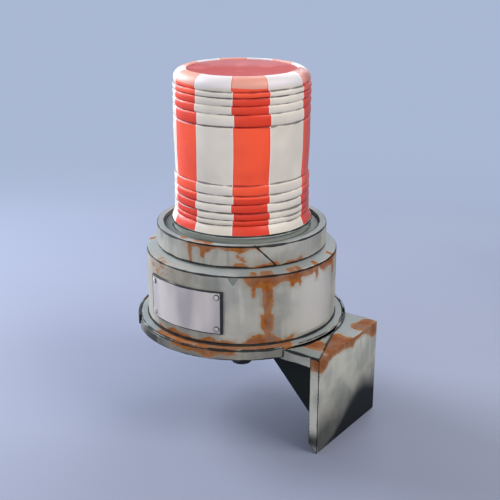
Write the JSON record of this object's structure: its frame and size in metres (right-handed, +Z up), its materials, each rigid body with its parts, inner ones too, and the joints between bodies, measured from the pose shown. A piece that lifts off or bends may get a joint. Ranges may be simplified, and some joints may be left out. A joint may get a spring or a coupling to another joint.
{
  "type": "bracket-mounted warning beacon",
  "caption": "Round rotating warning beacon with a ribbed striped lens on a stepped drum base, carried by a welded right-angle bracket with gussets.",
  "frame": {"origin": "centre of the bracket's flat wall face", "axes": "+X out of the wall face, away from the lamp; +Z up along the lamp axis; the nameplate looks towards -Y"},
  "size_m": [0.2384, 0.2168, 0.3558],
  "materials": {
    "bracket_paint": "pale grey paint, weathered and rusting",
    "gusset_paint": "black bitumen paint, matte",
    "housing_paint": "grey-green paint, weathered and rusting",
    "zinc_steel": "zinc plated, dull",
    "zinc_sheet": "zinc plated sheet, dull",
    "plate_aluminium": "satin",
    "seal_rubber": "matte",
    "black_nylon": "matte moulded",
    "turned_steel": "turned bright",
    "ceramic_white": "glazed",
    "bulb_metal": "bright",
    "bulb_glass": "clear",
    "bush_brass": "machined",
    "gear_nylon": "natural nylon",
    "reflector_mirror": "polished",
    "motor_steel": "drawn can",
    "wire_insulation": "smooth insulation",
    "lens_plastic": "red and white upright stripes, chalky gloss",
    "cap_plastic": "red, chalky gloss"
  },
  "bodies": {
    "housing": {"bracket_wall_plate": "bracket_paint", "bracket_arm_plate": "bracket_paint", "bracket_gussets": "gusset_paint", "bracket_corner_plate": "bracket_paint", "bracket_bolts": "zinc_steel", "bracket_washers": "zinc_steel", "bracket_nuts": "zinc_steel", "base_pan": "housing_paint", "rim_band_front": "housing_paint", "rim_band_rear": "housing_paint", "base_gasket": "seal_rubber", "drum_shell": "housing_paint", "drum_screws": "zinc_steel", "nameplate": "plate_aluminium", "nameplate_rivets": "plate_aluminium", "gland_washer": "seal_rubber", "gland_body": "black_nylon", "gland_locknut": "black_nylon", "gland_insert": "seal_rubber", "gland_nut": "black_nylon", "chassis_plate": "zinc_sheet", "chassis_pillars": "zinc_sheet", "chassis_screws": "zinc_steel", "spindle": "turned_steel", "spindle_screws": "zinc_steel", "lamp_holder": "ceramic_white", "bulb_base": "bulb_metal", "bulb_glass": "bulb_glass", "motor": "motor_steel", "motor_screws": "zinc_steel", "converter_box": "black_nylon", "converter_screws": "zinc_steel", "terminal_block": "gear_nylon", "terminal_screws": "bush_brass", "terminal_fixings": "zinc_steel", "earth_stud": "bush_brass", "earth_nuts": "bush_brass", "lamp_lead": "wire_insulation", "motor_lead": "wire_insulation"},
    "rotor": {"rotor_gear": "gear_nylon", "rotor_bush": "bush_brass", "reflector_bracket": "zinc_sheet", "reflector": "reflector_mirror", "reflector_screw": "zinc_steel"},
    "pinion": {"motor_shaft": "turned_steel", "motor_pinion": "bush_brass"},
    "lens_seal": {"lens_gasket": "seal_rubber"},
    "lens_unit": {"lens": "lens_plastic", "lens_cap": "cap_plastic", "lens_foot_ring": "housing_paint", "lens_collar": "housing_paint"}
  },
  "joints": [
    {"name": "rotor_spin", "type": "hinge", "parent": "housing", "child": "rotor", "pos_m": [-0.13, 0, 0.1335], "axis": [0, 0, 1], "continuous": true},
    {"name": "pinion_spin", "type": "hinge", "parent": "housing", "child": "pinion", "pos_m": [-0.18, 0, 0.1275], "axis": [0, 0, 1], "continuous": true},
    {"name": "lens_lift", "type": "slide", "parent": "housing", "child": "lens_seal", "axis": [0, 0, 1], "range_m": [0, 0.19]},
    {"name": "lens_turn", "type": "hinge", "parent": "lens_seal", "child": "lens_unit", "pos_m": [-0.13, 0, 0.1435], "axis": [0, 0, 1], "range_deg": [0, 30]}
  ],
  "couplings": [
    {"joint": "pinion_spin", "follows": "rotor_spin", "ratio": -4}
  ]
}
